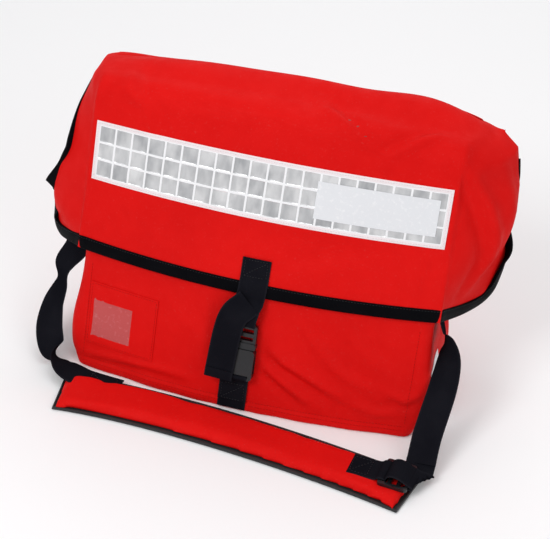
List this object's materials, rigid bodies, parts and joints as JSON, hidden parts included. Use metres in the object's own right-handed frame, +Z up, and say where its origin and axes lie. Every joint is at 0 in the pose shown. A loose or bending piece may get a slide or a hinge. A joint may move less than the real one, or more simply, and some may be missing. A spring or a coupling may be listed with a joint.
{
  "type": "postal delivery pouch",
  "caption": "Box-shaped cloth mail pouch with a winged lid flap, a side-release buckle on webbing and a padded shoulder strap folded in front of it.",
  "frame": {"origin": "middle of the bag's base, on the surface it stands on", "axes": "+Z up, the front with the buckle faces -Y, +X to the right of someone facing the front"},
  "size_m": [0.6135, 0.3524, 0.398],
  "materials": {
    "red_cloth": "woven coated nylon",
    "red_lining": "plain lining cloth",
    "black_binding": "ribbed tape",
    "black_webbing": "woven webbing",
    "reflective_border": "white tape",
    "reflective_cells": "silver prismatic sheet",
    "reflective_panel": "plain silver sheet",
    "window_film": "clear soft film",
    "black_plastic": "moulded acetal",
    "board": "stiffener sheet",
    "foam": "soft foam"
  },
  "bodies": {
    "root": {"base_panel": "red_cloth", "base_board": "board", "front_panel": "red_cloth", "back_panel": "red_cloth", "gusset_left": "red_cloth", "gusset_right": "red_cloth", "mouth_hem": "red_cloth", "reflector_left": "reflective_border", "reflector_right": "reflective_border", "id_pocket_frame": "red_cloth", "id_window": "window_film", "front_web": "black_webbing", "receiver_base": "black_plastic", "receiver_back": "black_plastic", "receiver_front": "black_plastic", "receiver_post_left": "black_plastic", "receiver_post_right": "black_plastic", "strap_anchor_left": "black_webbing", "strap_anchor_right": "black_webbing"},
    "flap": {"flap_cover": "red_cloth", "flap_lining": "red_lining", "flap_wing_left": "red_cloth", "flap_wing_right": "red_cloth", "flap_binding": "black_binding", "wing_binding_left": "black_binding", "wing_binding_right": "black_binding", "strip_border": "reflective_border", "strip_cells": "reflective_cells", "strip_panel": "reflective_panel", "flap_tab": "black_webbing", "web_bend": "black_webbing", "flap_web": "black_webbing"},
    "tail": {"web_tail": "black_webbing", "tail_bend": "black_webbing"},
    "plug": {"buckle_plug": "black_plastic"},
    "arm_left": {"plug_arm_left": "black_plastic"},
    "arm_right": {"plug_arm_right": "black_plastic"},
    "strap": {"strap_web_left": "black_webbing", "strap_web_right": "black_webbing", "web_fold": "black_webbing", "pad_cover": "red_cloth", "pad_foam": "foam", "pad_backing": "black_binding", "adjuster_loop": "black_webbing"},
    "adjuster": {"strap_adjuster": "black_plastic", "adjuster_web": "black_webbing"}
  },
  "joints": [
    {"name": "flap_hinge", "type": "hinge", "parent": "root", "child": "flap", "pos_m": [0, 0.1226, 0.37], "axis": [-1, 0, 0], "range_deg": [0, 200]},
    {"name": "tail_lift", "type": "hinge", "parent": "flap", "child": "tail", "pos_m": [-0.002, -0.0755, 0.1545], "axis": [-1, 0, 0], "range_deg": [0, 50]},
    {"name": "plug_slide", "type": "slide", "parent": "root", "child": "plug", "axis": [0, 0.2924, 0.9563], "range_m": [0, 0.022]},
    {"name": "arm_squeeze_right", "type": "hinge", "parent": "plug", "child": "arm_right", "pos_m": [0.008, -0.0907, 0.0876], "axis": [0, 0.9563, -0.2924], "range_deg": [0, 6], "stiffness_Nm_per_rad": 0.05},
    {"name": "arm_squeeze_left", "type": "hinge", "parent": "plug", "child": "arm_left", "pos_m": [-0.02, -0.0907, 0.0876], "axis": [0, -0.9563, 0.2924], "range_deg": [0, 6], "stiffness_Nm_per_rad": 0.05},
    {"name": "strap_swing", "type": "hinge", "parent": "root", "child": "strap", "pos_m": [0, -0.007, 0.128], "axis": [-1, 0, 0], "range_deg": [0, 60]},
    {"name": "adjuster_tilt", "type": "hinge", "parent": "strap", "child": "adjuster", "pos_m": [0.21714, -0.17886, 0.0162], "axis": [-0.0872, -0.9962, 0], "range_deg": [0, 30]}
  ],
  "couplings": [
    {"joint": "arm_squeeze_left", "follows": "arm_squeeze_right", "ratio": 1}
  ]
}
